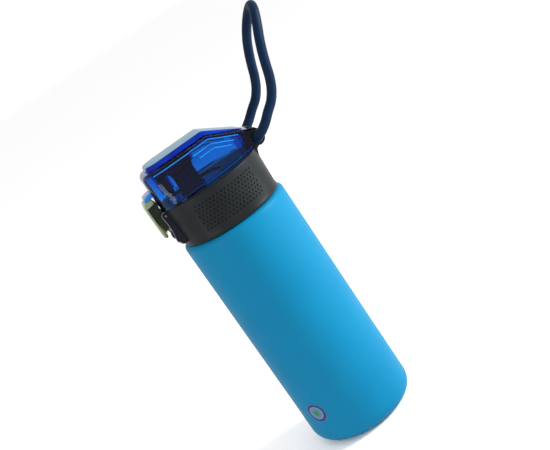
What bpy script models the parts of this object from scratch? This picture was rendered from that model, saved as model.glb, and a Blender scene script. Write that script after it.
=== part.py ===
"""Flip-top sports bottle: hollow bottle, screw cap with a spring latch, hinged lid and a cord strap.

Units are metres. +Z is up, the latch is at -Y and the hinge at +Y. The origin is the middle of the base.
"""
import math

import bmesh
import bpy
from mathutils import Matrix, Vector

MM = 0.001

# Driving dimensions, in millimetres.
BODY_RADIUS = 36.5
BODY_HEIGHT = 162.5
BODY_WALL = 1.8
BASE_THICKNESS = 2.4
BASE_FILLET = 11.0
SHOULDER_FILLET = 3.5
NECK_RADIUS = 27.5
NECK_WALL = 2.0
NECK_TOP = 185.2
BASE_GROOVE = (16.5, 23.0)
THREAD_PITCH = 4.0
THREAD_DEPTH = 1.2
THREAD_TURNS = 1.25
NECK_THREAD_Z = 169.5
CAP_THREAD_Z = 171.5
GAP = 0.3

BADGE_RADIUS = 7.3
BADGE_HEIGHT = 28.9
BADGE_DIRECTION = math.radians(-54.2)

COLLAR_BOTTOM = 163.0
COLLAR_TOP = 191.2
COLLAR_LOW_RADIUS = 34.0
COLLAR_TOP_RADIUS = 35.1
COLLAR_LIP = 0.4
COLLAR_BORE = 31.4
WELL_Y = -9.0
WELL_RADIUS = 19.3
CAP_OUTER = 31.0
CAP_BORE = 29.3
CAP_LOW = 164.5
DECK_LOW = COLLAR_TOP - 3.5
DECK_TOP = COLLAR_TOP - 1.5

SPOUT_Y = -10.4
SPOUT_OUTER = 7.4
SPOUT_BORE = 5.9
SPOUT_TOP = 203.0
STOPPER_RADIUS = 9.0
STOPPER_TOP = 210.0
VENT_Y = -23.8
VENT_RADIUS = 2.9
NOZZLE_TOP = DECK_TOP + 3.0

LID_BOTTOM = COLLAR_TOP + GAP
LID_TOP = 215.0
LID_FRONT = -34.7
LID_WALL = 2.2
LID_SHOULDER = 2.6
RIDGE_Y = 11.5
PANEL_TOP = 218.2
HINGE_Y = 37.5
HINGE_Z = 196.0
KNUCKLE_RADIUS = 5.5
KNUCKLE_INNER_X = 10.3
KNUCKLE_OUTER_X = 16.0
LUG_X = (4.0, 10.0)
SLEEVE_RADIUS = 4.1
SLEEVE_BORE = 3.4

PIN_Y = -35.0
PIN_Z = 187.2
PIN_RADIUS = 0.8
PIN_PLAY = 0.05
EAR_INNER_X = 7.4
EAR_OUTER_X = 9.0
POCKET_Y = -32.8
BUTTON_HALF_WIDTH = 7.0
BUTTON_INNER_Y = -40.5
SPRING_Z = 178.0
SPRING_RADIUS = 1.8
SPRING_WIRE = 0.25
SPRING_TURNS = 5

CORD_RADIUS = 3.1
JOINER_HALF = 4.0

# Lid stations from front to back: y, half width at the lower rim, half width at the shoulder, drop of the roof.
LID_STATIONS = [(LID_FRONT, 8.0, 7.0, 4.5), (-34.2, 11.6, 9.2, 2.4), (-33.2, 14.6, 11.2, 1.1), (-31.5, 17.6, 13.2, 0.2),
                (-29.0, 20.4, 14.9, 0.0), (-25.5, 23.0, 16.2, 0.0), (-21.0, 24.4, 17.0, 0.0), (-14.0, 24.2, 17.3, 0.0),
                (0.0, 22.6, 17.2, 0.0), (RIDGE_Y, 20.8, 16.8, 0.0), (22.0, 18.2, 15.8, 0.0), (30.0, 16.5, 15.0, 0.0),
                (34.0, 16.0, 14.9, 0.0), (44.0, 16.0, 14.9, 0.0)]

# Panel stations: y, half width below, half width on top, drop of the top at the front edge.
PANEL_STATIONS = [(-29.6, 7.5, 7.2, 2.0), (-28.7, 9.4, 7.8, 0.4), (-27.6, 11.0, 8.8, 0.0), (-25.0, 13.1, 10.7, 0.0),
                  (-22.0, 14.3, 11.8, 0.0), (-18.0, 14.7, 12.2, 0.0), (0.0, 14.6, 12.1, 0.0), (10.2, 14.4, 11.9, 0.0),
                  (RIDGE_Y, 14.3, 11.8, 0.2), (13.2, 14.1, 11.7, 0.0), (24.0, 13.0, 11.3, 0.0), (33.5, 11.8, 11.0, 0.0)]

ROUND_STEPS = 56


# --- scene set-up -----------------------------------------------------------------------------

def clear_scene():
    for old in list(bpy.data.objects):
        bpy.data.objects.remove(old, do_unlink=True)


def new_collection(name):
    collection = bpy.data.collections.new(name)
    bpy.context.scene.collection.children.link(collection)
    return collection


def make_material(name, color, roughness, metallic=0.0, transmission=0.0):
    material = bpy.data.materials.new(name)
    material.use_nodes = True
    shader = material.node_tree.nodes["Principled BSDF"]
    shader.inputs["Base Color"].default_value = (*color, 1.0)
    shader.inputs["Roughness"].default_value = roughness
    shader.inputs["Metallic"].default_value = metallic
    shader.inputs["Transmission Weight"].default_value = transmission
    return material


# --- shape helpers ----------------------------------------------------------------------------

def place(obj, material=None, cutter=False):
    """Link an object as a part, or as a hidden cutter."""
    if cutter:
        CUTTERS.objects.link(obj)
        obj.hide_render = True
        obj.display_type = 'WIRE'
    else:
        PARTS.objects.link(obj)
        obj.data.materials.append(material)
    return obj


def smooth(obj, angle=35.0):
    obj.data.shade_smooth()
    obj.data.set_sharp_from_angle(angle=math.radians(angle))
    return obj


def arc(center, radius, start, end, count):
    """Points on an arc in the profile plane, angles in degrees."""
    points = []
    for i in range(count + 1):
        a = math.radians(start + (end - start) * i / count)
        points.append((center[0] + radius * math.cos(a), center[1] + radius * math.sin(a)))
    return points


def rounded(outline, radii, count=4):
    """Round the corners of a closed outline. radii gives one radius per corner, 0 keeps it sharp."""
    result = []
    total = len(outline)
    for i, corner in enumerate(outline):
        radius = radii[i]
        here = Vector(corner)
        if radius <= 0.0:
            result.append(tuple(here))
            continue
        before = (Vector(outline[i - 1]) - here).normalized()
        after = (Vector(outline[(i + 1) % total]) - here).normalized()
        half = before.angle(after) / 2.0
        reach = radius / math.tan(half)
        middle = here + (before + after).normalized() * (radius / math.sin(half))
        first = here + before * reach - middle
        last = here + after * reach - middle
        for k in range(count + 1):
            mix = first.lerp(last, k / count)
            result.append(tuple(middle + mix.normalized() * radius))
    return result


def mirrored(half):
    """A closed outline from its +X half, listed from front to back."""
    return list(half) + [(-x, y) for x, y in reversed(half)]


def turned(name, profile, material=None, center=(0.0, 0.0), steps=ROUND_STEPS, closed=True, cutter=False):
    """A solid of revolution about a vertical axis. The profile runs down its outer side."""
    mesh = bpy.data.meshes.new(name)
    edges = [(i, i + 1) for i in range(len(profile) - 1)]
    if closed:
        edges.append((len(profile) - 1, 0))
    mesh.from_pydata([(r * MM, 0.0, z * MM) for r, z in profile], edges, [])
    obj = bpy.data.objects.new(name, mesh)
    obj.location = (center[0] * MM, center[1] * MM, 0.0)
    screw = obj.modifiers.new("turn", 'SCREW')
    screw.steps = steps
    screw.render_steps = steps
    screw.use_merge_vertices = True
    screw.merge_threshold = 0.00001
    return place(obj, material, cutter)


def evaluated_mesh(obj):
    graph = bpy.context.evaluated_depsgraph_get()
    graph.update()
    return bpy.data.meshes.new_from_object(obj.evaluated_get(graph))


def baked(obj):
    """Replace an object's modifiers, or a curve, by the mesh that they make."""
    mesh = evaluated_mesh(obj)
    bm = bmesh.new()
    bm.from_mesh(mesh)
    bmesh.ops.remove_doubles(bm, verts=bm.verts, dist=0.000001)
    bmesh.ops.recalc_face_normals(bm, faces=bm.faces)
    bm.to_mesh(mesh)
    bm.free()
    name = obj.name
    matrix = obj.matrix_world.copy()
    bpy.data.objects.remove(obj, do_unlink=True)
    solid = bpy.data.objects.new(name, mesh)
    solid.matrix_world = matrix
    return solid


def flat_curve(name, outline, half_thickness):
    curve = bpy.data.curves.new(name, 'CURVE')
    curve.dimensions = '2D'
    curve.fill_mode = 'BOTH'
    curve.extrude = half_thickness * MM
    spline = curve.splines.new('POLY')
    spline.points.add(len(outline) - 1)
    for point, (u, v) in zip(spline.points, outline):
        point.co = (u * MM, v * MM, 0.0, 1.0)
    spline.use_cyclic_u = True
    return curve


def side_slab(name, outline, low_x, high_x, material=None, cutter=False):
    """An outline in the Y-Z plane, given thickness from low_x to high_x."""
    curve = flat_curve(name, outline, (high_x - low_x) / 2.0)
    obj = bpy.data.objects.new(name, curve)
    axes = Matrix(((0, 0, 1, 0), (1, 0, 0, 0), (0, 1, 0, 0), (0, 0, 0, 1)))
    obj.matrix_world = Matrix.Translation(((low_x + high_x) / 2.0 * MM, 0.0, 0.0)) @ axes
    CUTTERS.objects.link(obj)
    return place(baked(obj), material, cutter)


def loft(name, rings, material=None, cutter=False):
    """A solid through rings of equal length, listed from front to back, closed at both ends."""
    mesh = bpy.data.meshes.new(name)
    bm = bmesh.new()
    loops = [[bm.verts.new([c * MM for c in point]) for point in ring] for ring in rings]
    count = len(loops[0])
    for near, far in zip(loops, loops[1:]):
        for i in range(count):
            j = (i + 1) % count
            bm.faces.new((near[i], near[j], far[j], far[i]))
    bm.faces.new(reversed(loops[0]))
    bm.faces.new(loops[-1])
    bmesh.ops.recalc_face_normals(bm, faces=bm.faces)
    bm.to_mesh(mesh)
    bm.free()
    return place(bpy.data.objects.new(name, mesh), material, cutter)


def box(name, low, high, material=None, cutter=False):
    mesh = bpy.data.meshes.new(name)
    bm = bmesh.new()
    bmesh.ops.create_cube(bm, size=1.0)
    for vertex in bm.verts:
        for axis in range(3):
            vertex.co[axis] = (low[axis] if vertex.co[axis] < 0.0 else high[axis]) * MM
    bm.to_mesh(mesh)
    bm.free()
    return place(bpy.data.objects.new(name, mesh), material, cutter)


def rod(name, center, radius, length, direction='X', material=None, cutter=False, segments=32):
    """A solid cylinder along X, Y or Z, centred at a point."""
    mesh = bpy.data.meshes.new(name)
    bm = bmesh.new()
    turns = {'X': Matrix.Rotation(math.pi / 2, 4, 'Y'), 'Y': Matrix.Rotation(math.pi / 2, 4, 'X'),
             'Z': Matrix.Identity(4)}
    bmesh.ops.create_cone(bm, cap_ends=True, segments=segments, radius1=radius * MM, radius2=radius * MM,
                          depth=length * MM, matrix=turns[direction])
    bm.to_mesh(mesh)
    bm.free()
    obj = bpy.data.objects.new(name, mesh)
    obj.location = [c * MM for c in center]
    return place(obj, material, cutter)


def upright_rod(name, y, radius, low, high, segments):
    return rod(name, (0, y, (low + high) / 2.0), radius, high - low, 'Z', cutter=True, segments=segments)


def boolean(obj, other, operation='DIFFERENCE'):
    modifier = obj.modifiers.new(operation.lower(), 'BOOLEAN')
    modifier.operation = operation
    modifier.object = other


def helix_bead(name, inner, outer, low_z, turns):
    """A screw thread's raised helix, as a closed cutter solid for a union."""
    wide = 0.8
    tip = 0.4
    if outer > inner:
        section = [(inner, low_z + wide), (outer, low_z + tip), (outer, low_z - tip), (inner, low_z - wide)]
    else:
        section = [(outer, low_z - tip), (outer, low_z + tip), (inner, low_z + wide), (inner, low_z - wide)]
    helix = turned(name, section, closed=True, cutter=True)
    screw = helix.modifiers["turn"]
    screw.angle = math.radians(360.0 * turns)
    screw.screw_offset = THREAD_PITCH * turns * MM
    screw.steps = int(32 * turns)
    screw.render_steps = screw.steps
    solid = baked(helix)
    bm = bmesh.new()
    bm.from_mesh(solid.data)
    bmesh.ops.holes_fill(bm, edges=[e for e in bm.edges if e.is_boundary], sides=4)
    bmesh.ops.recalc_face_normals(bm, faces=bm.faces)
    bm.to_mesh(solid.data)
    bm.free()
    return place(solid, cutter=True)


def catmull(points, per_span):
    """A smooth path through the route's points."""
    route = [Vector(p) for p in points]
    route = [2 * route[0] - route[1]] + route + [2 * route[-1] - route[-2]]
    path = []
    for i in range(1, len(route) - 2):
        a, b, c, d = route[i - 1:i + 3]
        for k in range(per_span):
            t = k / per_span
            path.append(0.5 * (2 * b + (c - a) * t + (2 * a - 5 * b + 4 * c - d) * t * t
                               + (3 * b - a - 3 * c + d) * t ** 3))
    path.append(route[-2])
    return path


def tube(name, path, radius, material, resolution=2):
    curve = bpy.data.curves.new(name, 'CURVE')
    curve.dimensions = '3D'
    curve.bevel_depth = radius * MM
    curve.bevel_resolution = resolution
    curve.use_fill_caps = True
    spline = curve.splines.new('POLY')
    spline.points.add(len(path) - 1)
    for point, co in zip(spline.points, path):
        point.co = (*(Vector(co) * MM), 1.0)
    return place(bpy.data.objects.new(name, curve), material)


# --- bottle -----------------------------------------------------------------------------------

def make_bottle_body():
    inner = BODY_RADIUS - BODY_WALL
    neck_inner = NECK_RADIUS - NECK_WALL
    outer = [(NECK_RADIUS - 0.5, NECK_TOP), (NECK_RADIUS, NECK_TOP - 0.5), (NECK_RADIUS, BODY_HEIGHT + 0.8)]
    outer += [(NECK_RADIUS + 0.8, BODY_HEIGHT)]
    outer += arc((BODY_RADIUS - SHOULDER_FILLET, BODY_HEIGHT - SHOULDER_FILLET), SHOULDER_FILLET, 90, 0, 4)
    outer += arc((BODY_RADIUS - BASE_FILLET, BASE_FILLET), BASE_FILLET, 0, -90, 6)
    groove_in, groove_out = BASE_GROOVE
    outer += [(groove_out, 0.0), (groove_out - 1.5, 0.9), (groove_in + 1.5, 0.9), (groove_in, 0.0), (0.0, 0.0)]
    fillet = BASE_FILLET - BODY_WALL
    hollow = [(0.0, BASE_THICKNESS)]
    hollow += arc((inner - fillet, BASE_THICKNESS + fillet), fillet, -90, 0, 4)
    hollow += [(inner, BODY_HEIGHT - 8.0), (neck_inner + 2.0, BODY_HEIGHT - 1.8), (neck_inner, BODY_HEIGHT + 0.2),
               (neck_inner, NECK_TOP)]
    body = turned("bottle_body", outer + hollow, MATERIALS["bottle"], closed=True)
    thread = helix_bead("neck_thread", NECK_RADIUS - 0.5, NECK_RADIUS + THREAD_DEPTH, NECK_THREAD_Z, THREAD_TURNS)
    boolean(body, thread, 'UNION')
    return smooth(body)


def make_body_badge():
    """A plain round label on the bottle's wall."""
    inner, outer = BODY_RADIUS + GAP, BODY_RADIUS + 0.8
    high, low = BADGE_HEIGHT + 10.0, BADGE_HEIGHT - 10.0
    badge = turned("body_badge", [(outer, high), (outer, low), (inner, low), (inner, high)], MATERIALS["label"],
                   steps=96)
    punch = rod("badge_outline", (0, 0, 0), BADGE_RADIUS, 12.0, 'X', cutter=True, segments=40)
    reach = BODY_RADIUS * MM
    punch.location = (reach * math.cos(BADGE_DIRECTION), reach * math.sin(BADGE_DIRECTION), BADGE_HEIGHT * MM)
    punch.rotation_euler.z = BADGE_DIRECTION
    boolean(badge, punch, 'INTERSECT')
    return smooth(badge)


# --- screw cap --------------------------------------------------------------------------------

def lug_outline():
    """Side view of the collar's hinge lug: a round eye that grows out of the rear wall."""
    eye = arc((HINGE_Y, HINGE_Z), KNUCKLE_RADIUS, -75, 190, 14)
    return [(31.2, 184.0), (33.6, 184.5), (35.2, 188.8)] + eye + [(31.2, COLLAR_TOP - 1.0)]


def make_collar():
    foot = COLLAR_LOW_RADIUS + COLLAR_LIP
    profile = [(COLLAR_TOP_RADIUS - 1.0, COLLAR_TOP), (COLLAR_TOP_RADIUS - 0.3, COLLAR_TOP - 0.3),
               (COLLAR_TOP_RADIUS, COLLAR_TOP - 1.0), (COLLAR_LOW_RADIUS + 0.1, COLLAR_BOTTOM + 1.4),
               (foot, COLLAR_BOTTOM + 1.1), (foot, COLLAR_BOTTOM + 0.2), (foot - 0.2, COLLAR_BOTTOM),
               (COLLAR_BORE, COLLAR_BOTTOM), (COLLAR_BORE, DECK_TOP + GAP), (8.0, DECK_TOP + GAP), (8.0, COLLAR_TOP)]
    collar = turned("collar", profile, MATERIALS["grey"])
    near, far = LUG_X
    for low, high in ((near, far), (-far, -near)):
        lug = side_slab("lug_form", lug_outline(), low, high, cutter=True)
        boolean(collar, lug, 'UNION')
    boolean(collar, upright_rod("spout_well", WELL_Y, WELL_RADIUS, DECK_TOP - 5.0, COLLAR_TOP + 5.0, 64))
    boolean(collar, rod("hinge_bore", (0, HINGE_Y, HINGE_Z), SLEEVE_RADIUS + GAP, 60, cutter=True))
    side = EAR_OUTER_X + GAP
    boolean(collar, box("latch_window", (-side, -45, 165.9), (side, -30.6, 195), cutter=True))
    return smooth(collar)


def make_inner_cap():
    profile = [(0.0, DECK_TOP), (CAP_OUTER - 0.4, DECK_TOP), (CAP_OUTER, DECK_TOP - 0.4), (CAP_OUTER, CAP_LOW),
               (CAP_BORE, CAP_LOW), (CAP_BORE, DECK_LOW), (0.0, DECK_LOW)]
    cap = turned("inner_cap", profile, MATERIALS["liner"], closed=False)
    thread = helix_bead("cap_thread", CAP_BORE + 0.5, CAP_BORE - THREAD_DEPTH, CAP_THREAD_Z, THREAD_TURNS)
    boolean(cap, thread, 'UNION')
    vent = [(0.0, NOZZLE_TOP), (VENT_RADIUS, NOZZLE_TOP), (3.6, DECK_TOP - 0.5), (0.0, DECK_TOP - 0.5)]
    nozzle = turned("vent_nozzle", vent, center=(0, VENT_Y), steps=24, closed=False, cutter=True)
    boolean(cap, nozzle, 'UNION')
    boolean(cap, rod("vent_hole", (0, VENT_Y, DECK_TOP), 1.6, 20, 'Z', cutter=True, segments=24))
    boolean(cap, rod("spout_seat", (0, SPOUT_Y, DECK_TOP), SPOUT_OUTER + GAP, 20, 'Z', cutter=True, segments=48))
    return smooth(cap)


def make_spout():
    flange = SPOUT_OUTER + 1.2
    low, foot = DECK_LOW - 1.0, DECK_TOP + GAP
    profile = [(SPOUT_BORE + 0.5, SPOUT_TOP), (SPOUT_OUTER - 0.5, SPOUT_TOP), (SPOUT_OUTER, SPOUT_TOP - 0.5),
               (SPOUT_OUTER, foot + 1.2), (flange, foot + 1.2), (flange, foot), (SPOUT_OUTER, foot),
               (SPOUT_OUTER, low), (SPOUT_BORE, low), (SPOUT_BORE, SPOUT_TOP - 1.5)]
    return smooth(turned("spout", profile, MATERIALS["navy"], center=(0, SPOUT_Y), steps=48))


def make_cap_seal_ring():
    low, high = NECK_TOP + GAP, DECK_LOW - GAP
    profile = [(28.5, high), (28.8, high - 0.4), (28.8, low + 0.4), (28.5, low), (25.6, low), (25.3, low + 0.4),
               (25.3, high - 0.4), (25.6, high)]
    return smooth(turned("cap_seal_ring", profile, MATERIALS["silicone"]), 20)


# --- latch ------------------------------------------------------------------------------------

def make_latch_housing():
    low, top = 166.2, COLLAR_TOP - 1.4
    outline = [(-31.4, low), (-35.4, low), (-38.1, 170.2), (-36.9, 178.0), (-37.1, 184.0), (-37.7, top), (-31.4, top)]
    ears = rounded(outline, [0, 1.5, 1.8, 6.0, 0, 2.4, 0])
    housing = side_slab("latch_housing", ears, -EAR_OUTER_X, EAR_OUTER_X, MATERIALS["black"])
    pocket = box("latch_pocket", (-EAR_INNER_X, -45, 168.0), (EAR_INNER_X, POCKET_Y, 195), cutter=True)
    boolean(housing, pocket)
    bore = rod("ear_bore", (0, PIN_Y, PIN_Z), PIN_RADIUS + PIN_PLAY, 40, cutter=True, segments=16)
    boolean(housing, bore)
    return smooth(housing)


def make_latch_button():
    """A face plate with a hook along its top, and two cheeks that run back to the pin."""
    outline = [(-41.4, 174.4), (-43.1, 176.0), (-43.1, 195.8), (-41.9, 200.5), (-37.2, 200.5), (-36.6, 199.6),
               (-36.6, 197.9), (-37.2, 197.3), (-39.8, 197.0), (BUTTON_INNER_Y, 195.0), (BUTTON_INNER_Y, 176.2)]
    face = rounded(outline, [1.0, 0.8, 3.0, 1.5, 0.3, 0.3, 0.3, 0.3, 0.6, 0.6, 0.8])
    button = side_slab("latch_button", face, -BUTTON_HALF_WIDTH, BUTTON_HALF_WIDTH, MATERIALS["olive"])
    outline = [(-41.0, 176.6), (-42.0, 190.0), (-41.0, 195.5), (-38.0, 190.6), (-36.8, 189.3), (-33.6, 189.3),
               (-33.6, 185.4), (-37.2, 181.5), (-38.0, 178.4)]
    web = rounded(outline, [0, 0, 0, 0.6, 0, 0.8, 0.8, 1.0, 0.6])
    inner, outer = BUTTON_HALF_WIDTH - 1.5, BUTTON_HALF_WIDTH
    for low, high in ((inner, outer), (-outer, -inner)):
        boolean(button, side_slab("cheek", web, low, high, cutter=True), 'UNION')
    bore = rod("cheek_bore", (0, PIN_Y, PIN_Z), PIN_RADIUS + PIN_PLAY, 40, cutter=True, segments=16)
    boolean(button, bore)
    return smooth(button)


def make_latch_pin():
    return smooth(rod("latch_pin", (0, PIN_Y, PIN_Z), PIN_RADIUS, 2 * EAR_OUTER_X, material=MATERIALS["steel"],
                      segments=16))


def make_latch_spring():
    start, end = POCKET_Y - GAP - SPRING_WIRE, BUTTON_INNER_Y + GAP + SPRING_WIRE
    steps = 8 * SPRING_TURNS
    path = []
    for i in range(steps + 1):
        angle = 2 * math.pi * SPRING_TURNS * i / steps
        path.append((SPRING_RADIUS * math.cos(angle), start + (end - start) * i / steps,
                     SPRING_Z + SPRING_RADIUS * math.sin(angle)))
    return tube("latch_spring", path, SPRING_WIRE, MATERIALS["steel"], resolution=1)


# --- lid --------------------------------------------------------------------------------------

def roof_angle():
    """Angle of the rear slope, which starts at the ridge and ends tangent to the hinge knuckles."""
    run, drop = HINGE_Y - RIDGE_Y, LID_TOP - HINGE_Z
    return math.asin(KNUCKLE_RADIUS / math.hypot(run, drop)) - math.atan2(drop, run)


def roof_height(y):
    return LID_TOP + math.tan(roof_angle()) * max(0.0, y - RIDGE_Y)


def station_at(stations, y):
    """Values between two stations, in proportion."""
    for near, far in zip(stations, stations[1:]):
        if near[0] <= y <= far[0]:
            t = (y - near[0]) / (far[0] - near[0])
            return [a + (b - a) * t for a, b in zip(near, far)]
    raise ValueError("no station at this place")


def lid_ring(y, inset, low):
    """Cross-section of the lid: flared sides, a soft shoulder and a flat roof."""
    rim, shoulder, drop = station_at(LID_STATIONS, y)[1:]
    rim, shoulder = rim - inset, shoulder - inset
    top = roof_height(y) - drop - inset
    height = top - LID_SHOULDER - LID_BOTTOM
    flare = rim - shoulder
    half = [(rim, low), (rim, LID_BOTTOM + 1.0), (rim - 0.22 * flare, LID_BOTTOM + 0.4 * height),
            (rim - 0.58 * flare, LID_BOTTOM + 0.75 * height), (shoulder, top - LID_SHOULDER),
            (shoulder - 0.7, top - 1.0), (shoulder - 2.6, top)]
    return [(x, y, z) for x, z in half] + [(-x, y, z) for x, z in reversed(half)]


def make_flip_lid():
    outer = [lid_ring(station[0], 0.0, LID_BOTTOM - 1.5) for station in LID_STATIONS]
    lid = loft("flip_lid", outer, MATERIALS["blue_clear"])
    back = math.degrees(roof_angle()) + 90.0
    rear = arc((HINGE_Y, HINGE_Z), KNUCKLE_RADIUS, back, -90, 12)
    side = [(-45.0, LID_BOTTOM), (-45.0, 230.0), (rear[0][0], 230.0)] + rear + [(32.0, LID_BOTTOM + 1.0),
                                                                              (31.0, LID_BOTTOM)]
    boolean(lid, side_slab("lid_side", side, -30, 30, cutter=True), 'INTERSECT')
    front, end = LID_FRONT + LID_WALL, 29.5
    places = [front] + [s[0] for s in LID_STATIONS if front < s[0] < end] + [end]
    inner = loft("lid_hollow", [lid_ring(y, LID_WALL, LID_BOTTOM - 3.0) for y in places], cutter=True)
    boolean(lid, inner)
    lug_top = HINGE_Z + KNUCKLE_RADIUS + 0.6
    lug_room = box("lug_room", (-KNUCKLE_INNER_X, 27.0, 180), (KNUCKLE_INNER_X, 50, lug_top), cutter=True)
    boolean(lid, lug_room)
    add_lid_bosses(lid)
    catch = [(-34.0, 193.4), (-36.2, 194.9), (-36.2, 195.9), (-34.0, 196.8)]
    boolean(lid, side_slab("lid_catch", catch, -5.0, 5.0, cutter=True), 'UNION')
    outline = [(-34.0, 200.9), (-39.9, 200.9), (-40.6, 201.6), (-39.6, 202.9), (-38.0, 203.4), (-34.0, 204.0)]
    tab = rounded(outline, [0, 0.4, 0.4, 0.6, 1.0, 0])
    boolean(lid, side_slab("lid_tab", tab, -BUTTON_HALF_WIDTH, BUTTON_HALF_WIDTH, cutter=True), 'UNION')
    boolean(lid, rod("knuckle_bore", (0, HINGE_Y, HINGE_Z), SLEEVE_RADIUS + 0.02, 60, cutter=True))
    return smooth(lid)


def add_lid_bosses(lid):
    """Round bosses under the lid's roof, bored for the spout stopper and the vent plug."""
    embedded = LID_TOP - LID_WALL + 0.8
    boolean(lid, upright_rod("stopper_holder", SPOUT_Y, STOPPER_RADIUS + 1.6, 206.2, embedded, 48), 'UNION')
    boolean(lid, upright_rod("vent_boss", VENT_Y, VENT_RADIUS + 1.3, 197.6, embedded, 32), 'UNION')
    boolean(lid, upright_rod("stopper_seat", SPOUT_Y, STOPPER_RADIUS + GAP, 204.0, STOPPER_TOP + GAP, 48))
    boolean(lid, upright_rod("vent_bore", VENT_Y, VENT_RADIUS + GAP, 195.0, 208.9, 32))


def panel_ring(y):
    wide, narrow, drop = station_at(PANEL_STATIONS, y)[1:]
    low = roof_height(y) + 0.35
    slope = (roof_height(33.5) + 1.0 - PANEL_TOP) / (33.5 - RIDGE_Y)
    high = PANEL_TOP + slope * max(0.0, y - RIDGE_Y) - drop
    half = [(wide, low), (wide, low + 0.4), (narrow, high)]
    return [(x, y, z) for x, z in half] + [(-x, y, z) for x, z in reversed(half)]


def make_lid_top_panel():
    return smooth(loft("lid_top_panel", [panel_ring(station[0]) for station in PANEL_STATIONS],
                       MATERIALS["blue_panel"]))


def make_spout_stopper():
    radius, low = STOPPER_RADIUS, SPOUT_TOP + GAP
    profile = [(0.0, STOPPER_TOP), (radius - 0.6, STOPPER_TOP), (radius, STOPPER_TOP - 0.6), (radius, 205.8),
               (radius - 0.8, 204.8), (SPOUT_OUTER, low), (5.2, low), (4.5, SPOUT_TOP - 3.0), (3.9, SPOUT_TOP - 3.6),
               (0.0, SPOUT_TOP - 3.6)]
    stopper = turned("spout_stopper", profile, MATERIALS["navy"], center=(0, SPOUT_Y), steps=48, closed=False)
    return smooth(stopper)


def make_vent_plug():
    tip = NOZZLE_TOP + GAP
    profile = [(0.0, 208.6), (VENT_RADIUS, 208.6), (VENT_RADIUS, 196.5), (2.2, tip), (0.0, tip)]
    return smooth(turned("vent_plug", profile, MATERIALS["navy"], center=(0, VENT_Y), steps=24, closed=False))


# --- hinge sleeve and strap -------------------------------------------------------------------

def make_hinge_sleeve():
    sleeve = rod("hinge_sleeve", (0, HINGE_Y, HINGE_Z), SLEEVE_RADIUS, 2 * KNUCKLE_OUTER_X,
                 material=MATERIALS["grey"])
    boolean(sleeve, rod("sleeve_bore", (0, HINGE_Y, HINGE_Z), SLEEVE_BORE, 60, cutter=True))
    return smooth(sleeve)


def make_strap_joiner():
    return smooth(rod("strap_joiner", (0, HINGE_Y, HINGE_Z), CORD_RADIUS, 2 * JOINER_HALF,
                      material=MATERIALS["black"], segments=24))


def make_strap_cord():
    """One cord: out of the sleeve on one side, up around the loop, and back into the other side."""
    half = [(JOINER_HALF + GAP, HINGE_Y, HINGE_Z), (11.0, HINGE_Y, HINGE_Z), (16.8, HINGE_Y, HINGE_Z),
            (20.2, 40.6, 197.5), (20.9, 45.8, 200.9), (20.6, 51.0, 205.3), (20.1, 56.4, 209.6), (19.7, 60.8, 215.3),
            (19.3, 64.0, 222.1), (18.6, 66.4, 229.5), (17.6, 69.0, 236.8), (16.2, 72.4, 244.6), (13.2, 76.8, 252.6),
            (7.6, 80.8, 259.2), (0.0, 82.6, 262.2)]
    route = half + [(-x, y, z) for x, y, z in reversed(half[:-1])]
    return tube("strap_cord", catmull(route, 2), CORD_RADIUS, MATERIALS["cord"], resolution=3)


# --- assembly ---------------------------------------------------------------------------------

def make_materials():
    return {
        "bottle": make_material("frosted_tritan", (0.0, 0.26, 0.52), 0.45, transmission=0.4),
        "grey": make_material("grey_plastic", (0.09, 0.1, 0.105), 0.5),
        "liner": make_material("liner_plastic", (0.55, 0.62, 0.66), 0.35),
        "silicone": make_material("seal_silicone", (0.8, 0.82, 0.82), 0.6),
        "black": make_material("black_plastic", (0.015, 0.015, 0.018), 0.25),
        "olive": make_material("olive_plastic", (0.2, 0.19, 0.07), 0.3),
        "blue_clear": make_material("clear_blue_plastic", (0.0, 0.2, 0.7), 0.08, transmission=0.9),
        "blue_panel": make_material("blue_panel_plastic", (0.02, 0.2, 0.6), 0.2, transmission=0.5),
        "navy": make_material("navy_silicone", (0.005, 0.03, 0.12), 0.5),
        "cord": make_material("cord_rubber", (0.004, 0.035, 0.1), 0.55),
        "steel": make_material("spring_steel", (0.6, 0.6, 0.6), 0.3, metallic=1.0),
        "label": make_material("label_film", (0.1, 0.15, 0.3), 0.4),
    }


clear_scene()
PARTS = new_collection("flip_top_bottle")
CUTTERS = new_collection("cutters")
MATERIALS = make_materials()

make_bottle_body()
make_body_badge()
make_collar()
make_inner_cap()
make_spout()
make_cap_seal_ring()
make_latch_housing()
make_latch_button()
make_latch_pin()
make_latch_spring()
make_flip_lid()
make_lid_top_panel()
make_spout_stopper()
make_vent_plug()
make_hinge_sleeve()
make_strap_joiner()
make_strap_cord()
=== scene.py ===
"""Looks of the flip-top bottle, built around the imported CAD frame.

Lengths are in millimetres, except where a comment says metres. Noise scales are per metre.
"""
import math

import bmesh
import bpy
from mathutils import Matrix, Vector


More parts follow.
